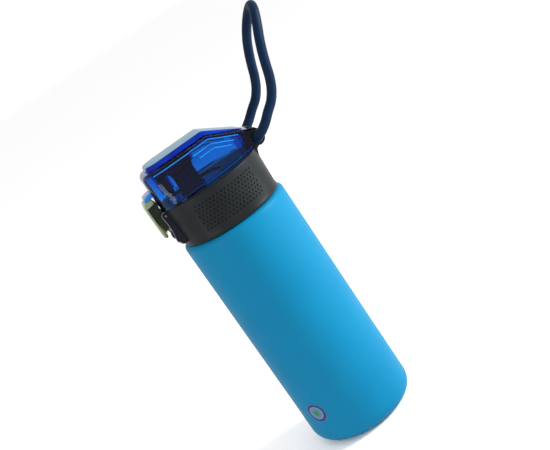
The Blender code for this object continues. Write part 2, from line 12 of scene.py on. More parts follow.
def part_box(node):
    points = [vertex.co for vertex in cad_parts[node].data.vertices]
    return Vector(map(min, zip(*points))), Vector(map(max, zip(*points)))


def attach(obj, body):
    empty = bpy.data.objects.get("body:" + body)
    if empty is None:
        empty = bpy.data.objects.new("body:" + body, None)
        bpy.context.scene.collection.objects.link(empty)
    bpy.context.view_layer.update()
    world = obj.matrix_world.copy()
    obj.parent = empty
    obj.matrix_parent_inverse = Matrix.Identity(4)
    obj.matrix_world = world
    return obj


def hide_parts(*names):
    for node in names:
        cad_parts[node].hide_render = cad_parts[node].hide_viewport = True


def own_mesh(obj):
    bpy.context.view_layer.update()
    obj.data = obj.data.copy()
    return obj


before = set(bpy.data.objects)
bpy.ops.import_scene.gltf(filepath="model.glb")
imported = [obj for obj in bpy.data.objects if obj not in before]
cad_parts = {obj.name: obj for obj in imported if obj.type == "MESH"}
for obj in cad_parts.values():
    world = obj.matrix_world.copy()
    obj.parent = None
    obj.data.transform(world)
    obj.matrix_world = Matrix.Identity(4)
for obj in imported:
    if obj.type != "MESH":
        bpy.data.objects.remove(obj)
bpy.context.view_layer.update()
MM = 0.001


def node_box(name):
    low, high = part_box(name)
    return low / MM, high / MM


BODY_HIGH = node_box("bottle_body")[1]
COLLAR_LOW, COLLAR_HIGH = node_box("collar")
SLEEVE_LOW, SLEEVE_HIGH = node_box("hinge_sleeve")
SPOUT_LOW, SPOUT_HIGH = node_box("spout")
VENT_LOW, VENT_HIGH = node_box("vent_plug")
STOPPER_HIGH = node_box("spout_stopper")[1]
PIN_LOW, PIN_HIGH = node_box("latch_pin")
BUTTON_HIGH = node_box("latch_button")[1]
JOINER_HIGH = node_box("strap_joiner")[1]
BADGE_LOW, BADGE_HIGH = node_box("body_badge")

BODY_RADIUS = BODY_HIGH.x
NECK_TOP = BODY_HIGH.z
NECK_HEIGHT = 22.7
BODY_HEIGHT = NECK_TOP - NECK_HEIGHT
BODY_WALL = 1.8
BASE_THICKNESS = 2.4
BASE_FILLET = 11.0
SHOULDER_FILLET = 3.5
NECK_RADIUS = 27.5
NECK_WALL = 2.0
THREAD_PITCH = 4.0
THREAD_DEPTH = 1.2
THREAD_TURNS = 1.25
NECK_THREAD_START = 169.5
CAP_THREAD_START = 171.5
GAP = 0.3

COLLAR_BOTTOM = COLLAR_LOW.z
COLLAR_HEIGHT = 28.2
COLLAR_TOP = COLLAR_BOTTOM + COLLAR_HEIGHT
COLLAR_LOW_RADIUS = 34.0
COLLAR_TOP_RADIUS = COLLAR_HIGH.x
COLLAR_LIP = 0.4
COLLAR_BORE = 31.4
WELL_Y = -9.0
WELL_RADIUS = 19.3
CAP_OUTER = 31.0
CAP_BORE = 29.3
CAP_BOTTOM = 164.5
DECK_LOW = COLLAR_TOP - 3.5
DECK_TOP = COLLAR_TOP - 1.5
NOZZLE_TOP = DECK_TOP + 3.0

HINGE_Y = (SLEEVE_LOW.y + SLEEVE_HIGH.y) / 2
HINGE_Z = (SLEEVE_LOW.z + SLEEVE_HIGH.z) / 2
SLEEVE_RADIUS = (SLEEVE_HIGH.z - SLEEVE_LOW.z) / 2
SLEEVE_HALF = SLEEVE_HIGH.x
SLEEVE_BORE = 3.4
KNUCKLE_RADIUS = 5.5
KNUCKLE_INNER_X = 10.3
SPOUT_Y = (SPOUT_LOW.y + SPOUT_HIGH.y) / 2
SPOUT_TOP = SPOUT_HIGH.z
SPOUT_OUTER = 7.4
SPOUT_BORE = 5.9
STOPPER_RADIUS = STOPPER_HIGH.x
STOPPER_TOP = STOPPER_HIGH.z
VENT_Y = (VENT_LOW.y + VENT_HIGH.y) / 2
VENT_RADIUS = 2.9

LID_BOTTOM = COLLAR_TOP + GAP
LID_HEIGHT = 23.5
LID_TOP = LID_BOTTOM + LID_HEIGHT
LID_FRONT = -34.7
LID_WALL = 2.2
LID_SHOULDER = 2.6
RIDGE_Y = 11.5
PANEL_TOP = LID_TOP + 3.2
HOLDER_LOW = 206.2
SEAT_LOW = 204.0
VENT_BOSS_LOW = 197.6
VENT_BORE_LOW = 195.0
VENT_BORE_TOP = 208.9
PLUG_TOP = 208.6
PANEL_END = 33.5

PIN_Y = (PIN_LOW.y + PIN_HIGH.y) / 2
PIN_Z = (PIN_LOW.z + PIN_HIGH.z) / 2
PIN_RADIUS = (PIN_HIGH.z - PIN_LOW.z) / 2
EAR_INNER_X = 7.4
EAR_OUTER_X = PIN_HIGH.x
BUTTON_HALF_WIDTH = BUTTON_HIGH.x
SPRING_Z = 178.0
EAR_LOW = 166.2
WINDOW_LOW = 165.9
POCKET_LOW = 168.0

CORD_RADIUS = JOINER_HIGH.z - HINGE_Z
JOINER_HALF = JOINER_HIGH.x

# Cutting solids reach past the piece that they cut.
FRONT_CLEAR = -45.0
TOP_CLEAR = 195.0
THROUGH_HINGE = 60.0
THROUGH_EARS = 40.0
THROUGH_DECK = 20.0

BEVEL_SEGMENTS = 3
NOISE_ROUGHNESS = 0.6
FLOOR_RADIUS = 6.0  # metres
LABEL_REACH = 7.3

# The lid's walls bend at two knees: share of the height, and share of the way in to the shoulder.
KNEE_LOW, KNEE_LOW_FLARE = 0.4, 0.22
KNEE_HIGH, KNEE_HIGH_FLARE = 0.75, 0.58

# Lid stations from front to back: y, half width at the lower rim and at the shoulder, drop of the roof.
LID_STATIONS = [(LID_FRONT, 8.0, 7.0, 4.5), (-34.2, 11.6, 9.2, 2.4), (-33.2, 14.6, 11.2, 1.1),
                (-31.5, 17.6, 13.2, 0.2), (-29.0, 20.4, 14.9, 0.0), (-25.5, 23.0, 16.2, 0.0),
                (-21.0, 24.4, 17.0, 0.0), (-14.0, 24.2, 17.3, 0.0), (0.0, 22.6, 17.2, 0.0),
                (RIDGE_Y, 20.8, 16.8, 0.0), (22.0, 18.2, 15.8, 0.0), (30.0, 16.5, 15.0, 0.0),
                (34.0, 16.0, 14.9, 0.0), (44.0, 16.0, 14.9, 0.0)]

# Panel stations: y, half width below, half width on top, drop of the top at the front edge.
PANEL_STATIONS = [(-29.6, 7.5, 7.2, 2.0), (-28.7, 9.4, 7.8, 0.4), (-27.6, 11.0, 8.8, 0.0),
                  (-25.0, 13.1, 10.7, 0.0), (-22.0, 14.3, 11.8, 0.0), (-18.0, 14.7, 12.2, 0.0),
                  (0.0, 14.6, 12.1, 0.0), (10.2, 14.4, 11.9, 0.0), (RIDGE_Y, 14.3, 11.8, 0.2),
                  (13.2, 14.1, 11.7, 0.0), (24.0, 13.0, 11.3, 0.0), (PANEL_END, 11.8, 11.0, 0.0)]


# --- camera -----------------------------------------------------------------------------------

def look_frame(back, roll):
    """Camera axes for a viewing direction and a roll about it."""
    right = Vector((0, 0, 1)).cross(back).normalized()
    up = back.cross(right)
    spin = Matrix.Rotation(roll, 3, back)
    return Matrix((spin @ right, spin @ up, back)).transposed()


def make_camera():
    """The bottle leans to the left in the picture, so the camera is rolled."""
    azimuth, elevation, roll = math.radians(84.0), 0.342, -0.594
    distance, aim_side, aim_height = 714.5, 18.6, 140.3
    orbit_height = BODY_HEIGHT / 2
    right = Vector((math.cos(azimuth), math.sin(azimuth), 0.0))
    away = Vector((math.sin(azimuth) * math.cos(elevation), -math.cos(azimuth) * math.cos(elevation),
                   math.sin(elevation)))
    place_at = Vector((0, 0, orbit_height)) + away * distance
    aim = right * aim_side + Vector((0, 0, aim_height))
    data = bpy.data.cameras.new("camera")
    data.lens = 72.0
    data.sensor_width = 36.0
    camera = bpy.data.objects.new("camera", data)
    bpy.context.scene.collection.objects.link(camera)
    camera.matrix_world = (Matrix.Translation(place_at * MM)
                           @ look_frame((place_at - aim).normalized(), roll).to_4x4())
    bpy.context.scene.camera = camera


# --- shape helpers ----------------------------------------------------------------------------

def link(obj):
    bpy.context.scene.collection.objects.link(obj)
    return obj


def arc(center, radius, start, end, count):
    points = []
    for i in range(count + 1):
        a = math.radians(start + (end - start) * i / count)
        points.append((center[0] + radius * math.cos(a), center[1] + radius * math.sin(a)))
    return points


def rounded(outline, radii, count=6):
    """Round the corners of a closed outline. radii gives one radius per corner, 0 keeps it sharp."""
    result = []
    total = len(outline)
    for i, corner in enumerate(outline):
        radius = radii[i]
        here = Vector(corner)
        if radius <= 0.0:
            result.append(tuple(here))
            continue
        before = (Vector(outline[i - 1]) - here).normalized()
        after = (Vector(outline[(i + 1) % total]) - here).normalized()
        half = before.angle(after) / 2.0
        reach = radius / math.tan(half)
        middle = here + (before + after).normalized() * (radius / math.sin(half))
        first = here + before * reach - middle
        last = here + after * reach - middle
        for k in range(count + 1):
            mix = first.lerp(last, k / count)
            result.append(tuple(middle + mix.normalized() * radius))
    return result


def mirrored(half):
    return list(half) + [(-x, y) for x, y in reversed(half)]


def evaluated_mesh(obj):
    graph = bpy.context.evaluated_depsgraph_get()
    graph.update()
    return bpy.data.meshes.new_from_object(obj.evaluated_get(graph))


def baked(obj, weld=0.000001):
    """Replace an object's modifiers, or a curve, by the mesh that they make."""
    bpy.context.view_layer.update()
    mesh = evaluated_mesh(obj)
    bm = bmesh.new()
    bm.from_mesh(mesh)
    if weld:
        bmesh.ops.remove_doubles(bm, verts=bm.verts, dist=weld)
    bm.to_mesh(mesh)
    bm.free()
    name = obj.name
    matrix = obj.matrix_world.copy()
    bpy.data.objects.remove(obj, do_unlink=True)
    solid = link(bpy.data.objects.new(name, mesh))
    solid.matrix_world = matrix
    return solid


def facing_out(obj):
    bm = bmesh.new()
    bm.from_mesh(obj.data)
    bmesh.ops.recalc_face_normals(bm, faces=bm.faces)
    bm.to_mesh(obj.data)
    bm.free()
    return obj


def turned(name, profile, center=(0.0, 0.0), steps=96, closed=True):
    """A solid of revolution about a vertical axis. The profile runs down its outer side."""
    mesh = bpy.data.meshes.new(name)
    edges = [(i, i + 1) for i in range(len(profile) - 1)]
    if closed:
        edges.append((len(profile) - 1, 0))
    mesh.from_pydata([(r * MM, 0.0, z * MM) for r, z in profile], edges, [])
    obj = link(bpy.data.objects.new(name, mesh))
    obj.location = (center[0] * MM, center[1] * MM, 0.0)
    screw = obj.modifiers.new("turn", 'SCREW')
    screw.steps = steps
    screw.render_steps = steps
    screw.use_merge_vertices = True
    screw.merge_threshold = 0.00001
    return baked(obj)


def slab(name, outline, half_thickness, matrix):
    curve = bpy.data.curves.new(name, 'CURVE')
    curve.dimensions = '2D'
    curve.fill_mode = 'BOTH'
    curve.extrude = half_thickness * MM
    spline = curve.splines.new('POLY')
    spline.points.add(len(outline) - 1)
    for point, (u, v) in zip(spline.points, outline):
        point.co = (u * MM, v * MM, 0.0, 1.0)
    spline.use_cyclic_u = True
    obj = link(bpy.data.objects.new(name, curve))
    obj.matrix_world = matrix
    return facing_out(baked(obj))


def side_slab(name, outline, low_x, high_x):
    """An outline in the Y-Z plane, given thickness from low_x to high_x."""
    axes = Matrix(((0, 0, 1, 0), (1, 0, 0, 0), (0, 1, 0, 0), (0, 0, 0, 1)))
    matrix = Matrix.Translation(((low_x + high_x) / 2.0 * MM, 0.0, 0.0)) @ axes
    return slab(name, outline, (high_x - low_x) / 2.0, matrix)


def loft(name, rings):
    """A solid through rings of equal length, listed from front to back, closed at both ends."""
    mesh = bpy.data.meshes.new(name)
    bm = bmesh.new()
    loops = [[bm.verts.new([c * MM for c in point]) for point in ring] for ring in rings]
    count = len(loops[0])
    for near, far in zip(loops, loops[1:]):
        for i in range(count):
            j = (i + 1) % count
            bm.faces.new((near[i], near[j], far[j], far[i]))
    bm.faces.new(reversed(loops[0]))
    bm.faces.new(loops[-1])
    bmesh.ops.recalc_face_normals(bm, faces=bm.faces)
    bm.to_mesh(mesh)
    bm.free()
    return link(bpy.data.objects.new(name, mesh))


def spline_point(a, b, c, d, t):
    """A point between b and c on a smooth curve through all four."""
    return [0.5 * (2 * q + (r - p) * t + (2 * p - 5 * q + 4 * r - s) * t * t
                   + (3 * q - p - 3 * r + s) * t ** 3)
            for p, q, r, s in zip(a, b, c, d)]


def finer(stations, steps, low=-100.0, high=100.0):
    """More stations on a smooth curve through the given ones, from low to high."""
    result = []
    last = len(stations) - 1
    for i in range(last):
        around = [stations[max(0, min(last, i + k))] for k in (-1, 0, 1, 2)]
        result += [spline_point(*around, k / steps) for k in range(steps)]
    result.append(list(stations[last]))
    return [station for station in result if low < station[0] < high]


def tube(name, path, radius, resolution=4):
    curve = bpy.data.curves.new(name, 'CURVE')
    curve.dimensions = '3D'
    curve.bevel_depth = radius * MM
    curve.bevel_resolution = resolution
    curve.use_fill_caps = True
    spline = curve.splines.new('POLY')
    spline.points.add(len(path) - 1)
    for point, co in zip(spline.points, path):
        point.co = (*(Vector(co) * MM), 1.0)
    spline.use_smooth = True
    return link(bpy.data.objects.new(name, curve))


def upright_rod(name, y, radius, low, high, segments):
    return rod(name, (0, y, (low + high) / 2.0), radius, high - low, 'Z', segments=segments)


def box(name, low, high):
    mesh = bpy.data.meshes.new(name)
    bm = bmesh.new()
    bmesh.ops.create_cube(bm, size=1.0)
    for vertex in bm.verts:
        for axis in range(3):
            vertex.co[axis] = (low[axis] if vertex.co[axis] < 0.0 else high[axis]) * MM
    bm.to_mesh(mesh)
    bm.free()
    return link(bpy.data.objects.new(name, mesh))


def rod(name, center, radius, length, direction='X', segments=64):
    mesh = bpy.data.meshes.new(name)
    bm = bmesh.new()
    turns = {'X': Matrix.Rotation(math.pi / 2, 4, 'Y'), 'Y': Matrix.Rotation(math.pi / 2, 4, 'X'),
             'Z': Matrix.Identity(4)}
    bmesh.ops.create_cone(bm, cap_ends=True, segments=segments, radius1=radius * MM, radius2=radius * MM,
                          depth=length * MM, matrix=turns[direction])
    bm.to_mesh(mesh)
    bm.free()
    obj = link(bpy.data.objects.new(name, mesh))
    obj.location = [c * MM for c in center]
    return obj


def cut(obj, other, operation='DIFFERENCE'):
    """Apply a Boolean at once and drop the other solid."""
    modifier = obj.modifiers.new("cut", 'BOOLEAN')
    modifier.operation = operation
    modifier.object = other
    result = baked(obj, weld=0.0000005)
    bpy.data.objects.remove(other, do_unlink=True)
    return result


def beveled(obj, width, angle=30.0):
    modifier = obj.modifiers.new("bevel", 'BEVEL')
    modifier.width = width * MM
    modifier.segments = BEVEL_SEGMENTS
    modifier.limit_method = 'ANGLE'
    modifier.angle_limit = math.radians(angle)
    modifier.use_clamp_overlap = True
    modifier.miter_outer = 'MITER_ARC'
    return baked(obj)


def smooth(obj, angle=30.0):
    obj.data.shade_smooth()
    obj.data.set_sharp_from_angle(angle=math.radians(angle))
    return obj


def helix_bead(name, inner, outer, low_z, turns):
    """A screw thread's raised helix with closed ends."""
    section = [(inner, low_z + 0.8), (outer, low_z + 0.4), (outer, low_z - 0.4), (inner, low_z - 0.8)]
    mesh = bpy.data.meshes.new(name)
    mesh.from_pydata([(r * MM, 0.0, z * MM) for r, z in section], [(0, 1), (1, 2), (2, 3), (3, 0)], [])
    helix = link(bpy.data.objects.new(name, mesh))
    screw = helix.modifiers.new("turn", 'SCREW')
    screw.angle = math.radians(360.0 * turns)
    screw.screw_offset = THREAD_PITCH * turns * MM
    screw.steps = int(80 * turns)
    screw.render_steps = screw.steps
    solid = baked(helix)
    bm = bmesh.new()
    bm.from_mesh(solid.data)
    bmesh.ops.holes_fill(bm, edges=[e for e in bm.edges if e.is_boundary], sides=4)
    bm.to_mesh(solid.data)
    bm.free()
    return facing_out(solid)


def finish_piece(obj, material, body, *nodes, slot=None, angle=30.0):
    """Shade, paint and place a finished piece on its body, standing for its CAD nodes."""
    smooth(obj, angle)
    obj.data.materials.clear()
    obj.data.materials.append(material)
    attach(obj, body)
    if nodes:
        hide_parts(*nodes)
    return obj


# --- materials --------------------------------------------------------------------------------

def base_material(name, color, roughness, **values):
    material = bpy.data.materials.new(name)
    material.use_nodes = True
    shader = material.node_tree.nodes["Principled BSDF"]
    shader.inputs["Base Color"].default_value = (*color, 1.0)
    shader.inputs["Roughness"].default_value = roughness
    for key, value in values.items():
        shader.inputs[key.replace("_", " ")].default_value = value
    return material, material.node_tree, shader


def noise(tree, scale, detail=3.0):
    coords = tree.nodes.new("ShaderNodeTexCoord")
    node = tree.nodes.new("ShaderNodeTexNoise")
    node.inputs["Scale"].default_value = scale
    node.inputs["Detail"].default_value = detail
    node.inputs["Roughness"].default_value = NOISE_ROUGHNESS
    tree.links.new(coords.outputs["Object"], node.inputs["Vector"])
    return node.outputs["Fac"]


def vary_roughness(tree, shader, value, low, high):
    node = tree.nodes.new("ShaderNodeMapRange")
    node.inputs["To Min"].default_value = low
    node.inputs["To Max"].default_value = high
    tree.links.new(value, node.inputs["Value"])
    tree.links.new(node.outputs["Result"], shader.inputs["Roughness"])


def tint(tree, shader, value, dark, light):
    """Vary the base colour a little between two tones."""
    ramp = tree.nodes.new("ShaderNodeValToRGB")
    ramp.color_ramp.elements[0].position = 0.3
    ramp.color_ramp.elements[0].color = (*dark, 1.0)
    ramp.color_ramp.elements[1].position = 0.7
    ramp.color_ramp.elements[1].color = (*light, 1.0)
    tree.links.new(value, ramp.inputs["Fac"])
    tree.links.new(ramp.outputs["Color"], shader.inputs["Base Color"])


def bump(tree, shader, value, strength, distance):
    node = tree.nodes.new("ShaderNodeBump")
    node.inputs["Strength"].default_value = strength
    node.inputs["Distance"].default_value = distance * MM
    tree.links.new(value, node.inputs["Height"])
    tree.links.new(node.outputs["Normal"], shader.inputs["Normal"])


def absorbing(tree, color, density):
    """Tint clear plastic by the depth of it that light goes through. Density is per metre."""
    node = tree.nodes.new("ShaderNodeVolumeAbsorption")
    node.inputs["Color"].default_value = (*color, 1.0)
    node.inputs["Density"].default_value = density
    tree.links.new(node.outputs["Volume"], tree.nodes["Material Output"].inputs["Volume"])


def frosted_bottle():
    material, tree, shader = base_material("frosted_bottle", (0.0, 0.18, 0.35), 0.5, Specular_IOR_Level=0.06,
                                           Transmission_Weight=0.15, IOR=1.4)
    grain = noise(tree, 3500.0, 2.0)
    vary_roughness(tree, shader, grain, 0.42, 0.56)
    tint(tree, shader, noise(tree, 14.0, 2.0), (0.0, 0.145, 0.285), (0.0, 0.165, 0.31))
    bump(tree, shader, grain, 0.12, 0.05)
    return material


def collar_plastic():
    material, tree, shader = base_material("collar_plastic", (0.005, 0.007, 0.008), 0.4,
                                           Specular_IOR_Level=0.12)
    grain = noise(tree, 2600.0, 3.0)
    vary_roughness(tree, shader, grain, 0.32, 0.46)
    tint(tree, shader, noise(tree, 60.0), (0.004, 0.006, 0.007), (0.008, 0.01, 0.011))
    bump(tree, shader, grain, 0.15, 0.04)
    return material


def liner_plastic():
    material, tree, shader = base_material("liner_plastic", (0.16, 0.3, 0.42), 0.35, Specular_IOR_Level=0.2)
    tint(tree, shader, noise(tree, 80.0), (0.14, 0.28, 0.4), (0.2, 0.34, 0.46))
    return material


def clear_blue():
    material, tree, shader = base_material("clear_blue", (0.15, 0.7, 1.0), 0.03,
                                           Transmission_Weight=1.0, IOR=1.25)
    vary_roughness(tree, shader, noise(tree, 300.0), 0.0, 0.03)
    bump(tree, shader, noise(tree, 90.0, 1.0), 0.03, 0.1)
    absorbing(tree, (0.0, 0.64, 0.85), 900.0)
    return material


def panel_edge():
    material, tree, shader = base_material("panel_edge", (0.0, 0.03, 0.3), 0.12, Specular_IOR_Level=0.12,
                                           Transmission_Weight=0.3, IOR=1.3)
    vary_roughness(tree, shader, noise(tree, 700.0), 0.08, 0.18)
    tint(tree, shader, noise(tree, 120.0), (0.0, 0.012, 0.24), (0.0, 0.025, 0.34))
    return material


def panel_top():
    material, tree, shader = base_material("panel_top", (0.08, 0.19, 0.27), 0.3, Specular_IOR_Level=0.12)
    vary_roughness(tree, shader, noise(tree, 1500.0), 0.22, 0.34)
    tint(tree, shader, noise(tree, 50.0), (0.065, 0.17, 0.25), (0.1, 0.21, 0.3))
    return material


def rib_blue():
    material, tree, shader = base_material("rib_blue", (0.0, 0.2, 0.62), 0.15, Specular_IOR_Level=0.2,
                                           Transmission_Weight=0.3)
    tint(tree, shader, noise(tree, 150.0), (0.0, 0.16, 0.55), (0.0, 0.24, 0.7))
    return material


def latch_black():
    material, tree, shader = base_material("latch_black", (0.004, 0.004, 0.01), 0.12, Specular_IOR_Level=0.1)
    vary_roughness(tree, shader, noise(tree, 500.0), 0.08, 0.2)
    tint(tree, shader, noise(tree, 200.0), (0.003, 0.003, 0.008), (0.006, 0.006, 0.013))
    return material


def latch_olive():
    material, tree, shader = base_material("latch_olive", (0.04, 0.05, 0.01), 0.3, Specular_IOR_Level=0.25)
    tint(tree, shader, noise(tree, 160.0), (0.07, 0.075, 0.012), (0.1, 0.105, 0.02))
    vary_roughness(tree, shader, noise(tree, 900.0), 0.25, 0.4)
    return material


# Painted shade: the button's olive darkened for its sides, which fall in shadow.
def latch_painted_shade():
    material, tree, shader = base_material("latch_painted_shade", (0.004, 0.008, 0.003), 0.3, Specular_IOR_Level=0.15)
    tint(tree, shader, noise(tree, 160.0), (0.003, 0.006, 0.002), (0.007, 0.012, 0.004))
    return material


# Painted highlight: light grey for the ears' front edges where they catch the light.
def painted_highlight_grey():
    material, tree, shader = base_material("painted_highlight_grey", (0.16, 0.15, 0.2), 0.35, Specular_IOR_Level=0.2)
    tint(tree, shader, noise(tree, 160.0), (0.12, 0.11, 0.16), (0.2, 0.19, 0.25))
    return material


def pin_steel():
    material, tree, shader = base_material("pin_steel", (0.1, 0.1, 0.12), 0.35, Metallic=1.0)
    vary_roughness(tree, shader, noise(tree, 1200.0), 0.28, 0.45)
    return material


def latch_painted_highlight():
    """The button's pale outer face, a painted highlight: the olive lightened where the face catches the
    light.
    """
    material, tree, shader = base_material("latch_painted_highlight", (0.18, 0.23, 0.15), 0.2, Specular_IOR_Level=0.3)
    tint(tree, shader, noise(tree, 160.0), (0.15, 0.2, 0.12), (0.21, 0.26, 0.17))
    vary_roughness(tree, shader, noise(tree, 900.0), 0.15, 0.3)
    return material


def silicone(name, dark, light, roughness, grain_strength=0.1):
    material, tree, shader = base_material(name, light, roughness, Specular_IOR_Level=0.08)
    grain = noise(tree, 2200.0, 3.0)
    vary_roughness(tree, shader, grain, roughness - 0.06, roughness + 0.08)
    tint(tree, shader, noise(tree, 120.0), dark, light)
    bump(tree, shader, grain, grain_strength, 0.04)
    return material


def spring_steel():
    material, tree, shader = base_material("spring_steel", (0.62, 0.62, 0.63), 0.25, Metallic=1.0)
    vary_roughness(tree, shader, noise(tree, 1200.0), 0.18, 0.36)
    return material


def ring_ramp(tree):
    """Plain rings of colour, from the label's middle at 0 to its edge at 1."""
    stops = [(0.0, (0.01, 0.13, 0.05)), (0.28, (0.04, 0.16, 0.14)), (0.36, (0.05, 0.13, 0.24)),
             (0.6, (0.1, 0.2, 0.32)), (0.68, (0.012, 0.016, 0.09)), (0.93, (0.04, 0.12, 0.26))]
    ramp = tree.nodes.new("ShaderNodeValToRGB")
    ramp.color_ramp.interpolation = 'CONSTANT'
    elements = ramp.color_ramp.elements
    for i, (position, color) in enumerate(stops):
        element = elements[i] if i < 2 else elements.new(position)
        element.position = position
        element.color = (*color, 1.0)
    return ramp


def label_film(center):
    """A plain printed disc: rings about the label's middle."""
    material, tree, shader = base_material("label_film", (0.1, 0.15, 0.3), 0.35, Specular_IOR_Level=0.2)
    coords = tree.nodes.new("ShaderNodeTexCoord")
    shift = tree.nodes.new("ShaderNodeVectorMath")
    shift.operation = 'SUBTRACT'
    shift.inputs[1].default_value = center
    length = tree.nodes.new("ShaderNodeVectorMath")
    length.operation = 'LENGTH'
    ramp = ring_ramp(tree)
    tree.links.new(coords.outputs["Object"], shift.inputs[0])
    tree.links.new(shift.outputs["Vector"], length.inputs[0])
    reach = tree.nodes.new("ShaderNodeMapRange")
    reach.inputs["From Max"].default_value = LABEL_REACH * MM
    tree.links.new(length.outputs["Value"], reach.inputs["Value"])
    tree.links.new(reach.outputs["Result"], ramp.inputs["Fac"])
    tree.links.new(ramp.outputs["Color"], shader.inputs["Base Color"])
    return material


# --- strap ------------------------------------------------------------------------------------

def catmull(points, per_span):
    """A smooth path through the route's points."""
    route = [Vector(p) for p in points]
    route = [2 * route[0] - route[1]] + route + [2 * route[-1] - route[-2]]
    path = []
    for i in range(1, len(route) - 2):
        a, b, c, d = route[i - 1:i + 3]
        for k in range(per_span):
            path.append(Vector(spline_point(a, b, c, d, k / per_span)))
    path.append(route[-2])
    return path


def make_strap(material):
    """One cord: out of the sleeve on one side, up around the loop, and back into the other side."""
    half = [(JOINER_HALF + GAP, HINGE_Y, HINGE_Z), (11.0, HINGE_Y, HINGE_Z), (16.8, HINGE_Y, HINGE_Z),
            (20.2, 40.6, 197.5), (20.9, 45.8, 200.9), (20.6, 51.0, 205.3), (20.1, 56.4, 209.6),
            (19.7, 60.8, 215.3), (19.3, 64.0, 222.1), (18.6, 66.4, 229.5), (17.6, 69.0, 236.8),
            (16.2, 72.4, 244.6), (13.2, 76.8, 252.6), (7.6, 80.8, 259.2), (0.0, 82.6, 262.2)]
    route = half + [(-x, y, z) for x, y, z in reversed(half[:-1])]
    path = catmull(route, 8)
    strap = tube("strap_loop", path, CORD_RADIUS, 8)
    strap.data.materials.append(material)
    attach(strap, "strap")
    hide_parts("strap_cord")


def paint_joiner(material):
    """The joiner is hidden inside the sleeve, so it keeps its CAD mesh."""
    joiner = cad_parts["strap_joiner"]
    joiner.data.materials.clear()
    joiner.data.materials.append(material)


# --- bottle -----------------------------------------------------------------------------------

def make_bottle(material):
    inner = BODY_RADIUS - BODY_WALL
    neck_inner = NECK_RADIUS - NECK_WALL
    outer = [(NECK_RADIUS - 0.5, NECK_TOP), (NECK_RADIUS - 0.15, NECK_TOP - 0.15),
             (NECK_RADIUS, NECK_TOP - 0.5), (NECK_RADIUS, BODY_HEIGHT + 0.8)]
    outer += arc((NECK_RADIUS + 0.8, BODY_HEIGHT + 0.8), 0.8, 180, 270, 4)
    outer += arc((BODY_RADIUS - SHOULDER_FILLET, BODY_HEIGHT - SHOULDER_FILLET), SHOULDER_FILLET, 90, 0, 12)
    outer += arc((BODY_RADIUS - BASE_FILLET, BASE_FILLET), BASE_FILLET, 0, -90, 20)
    outer += [(23.0, 0.0), (22.6, 0.15), (21.5, 0.9), (18.0, 0.9), (16.9, 0.15), (16.5, 0.0), (0.0, 0.0)]
    fillet = BASE_FILLET - BODY_WALL
    hollow = [(0.0, BASE_THICKNESS)]
    hollow += arc((inner - fillet, BASE_THICKNESS + fillet), fillet, -90, 0, 16)
    hollow += arc((inner - 4.0, BODY_HEIGHT - 6.0), 4.0, 0, 80, 8)
    hollow += [(neck_inner + 1.2, BODY_HEIGHT - 1.6), (neck_inner + 0.3, BODY_HEIGHT - 1.2),
               (neck_inner, BODY_HEIGHT), (neck_inner, NECK_TOP - 0.3), (neck_inner + 0.3, NECK_TOP)]
    body = turned("bottle_shell", outer + hollow, steps=160)
    thread = helix_bead("neck_thread", NECK_RADIUS - 0.5, NECK_RADIUS + THREAD_DEPTH,
                        NECK_THREAD_START, THREAD_TURNS)
    body = cut(facing_out(body), thread, 'UNION')
    finish_piece(body, material, "bottle", "bottle_body", slot="frosted_bottle")


def make_label():
    """A plain round label, pressed on the bottle's wall."""
    center = Vector(((BADGE_LOW.x + BADGE_HIGH.x) / 2, (BADGE_LOW.y + BADGE_HIGH.y) / 2,
                     (BADGE_LOW.z + BADGE_HIGH.z) / 2))
    direction = math.atan2(center.y, center.x)
    height, radius = center.z, (BADGE_HIGH.z - BADGE_LOW.z) / 2
    shell = [(BODY_RADIUS + 0.22, height + 9), (BODY_RADIUS + 0.22, height - 9),
             (BODY_RADIUS + 0.02, height - 9), (BODY_RADIUS + 0.02, height + 9)]
    label = facing_out(turned("round_label", shell, steps=240))
    punch = rod("punch", (0, 0, 0), radius, 12.0, 'X', segments=96)
    spot = (BODY_RADIUS * math.cos(direction), BODY_RADIUS * math.sin(direction), height)
    punch.location = Vector(spot) * MM
    punch.rotation_euler.z = direction
    label = cut(label, punch, 'INTERSECT')
    middle = tuple(c * MM for c in spot)
    finish_piece(label, label_film(middle), "bottle", "body_badge", slot="label_film")


# --- screw cap --------------------------------------------------------------------------------

def collar_radius(z):
    low, high = COLLAR_BOTTOM + 1.4, COLLAR_TOP - 1.0
    return COLLAR_LOW_RADIUS + 0.1 + (COLLAR_TOP_RADIUS - COLLAR_LOW_RADIUS - 0.1) * (z - low) / (high - low)


def grip_dimples():
    """Small round pits in staggered rows, on both sides of the collar."""
    pitch, rows, span, ball = 2.65, 8, 38.5, 0.75
    bm = bmesh.new()
    row_step = pitch * math.sin(math.radians(60.0))
    low = (COLLAR_BOTTOM + COLLAR_TOP) / 2 + 0.5 - row_step * (rows - 1) / 2
    for row in range(rows):
        z = low + row * row_step
        radius = collar_radius(z)
        step = pitch / radius
        half_count = int(math.radians(span) / step)
        for side in (0.0, math.pi):
            for k in range(-half_count, half_count + 1):
                angle = side + (k + 0.5 * (row % 2)) * step
                reach = radius + 0.1
                spot = Vector((reach * math.cos(angle), reach * math.sin(angle), z)) * MM
                turn = Matrix.Rotation(angle, 4, 'Z') @ Matrix.Rotation(math.pi / 2, 4, 'Y')
                bmesh.ops.create_uvsphere(bm, u_segments=12, v_segments=8, radius=ball * MM,
                                          matrix=Matrix.Translation(spot) @ turn)
    mesh = bpy.data.meshes.new("grip_dimples")
    bm.to_mesh(mesh)
    bm.free()
    return link(bpy.data.objects.new("grip_dimples", mesh))


def lug_outline():
    eye = arc((HINGE_Y, HINGE_Z), KNUCKLE_RADIUS, -75, 190, 36)
    return [(31.2, 184.0), (33.6, 184.5), (35.2, 188.8)] + eye + [(31.2, COLLAR_TOP - 1.0)]


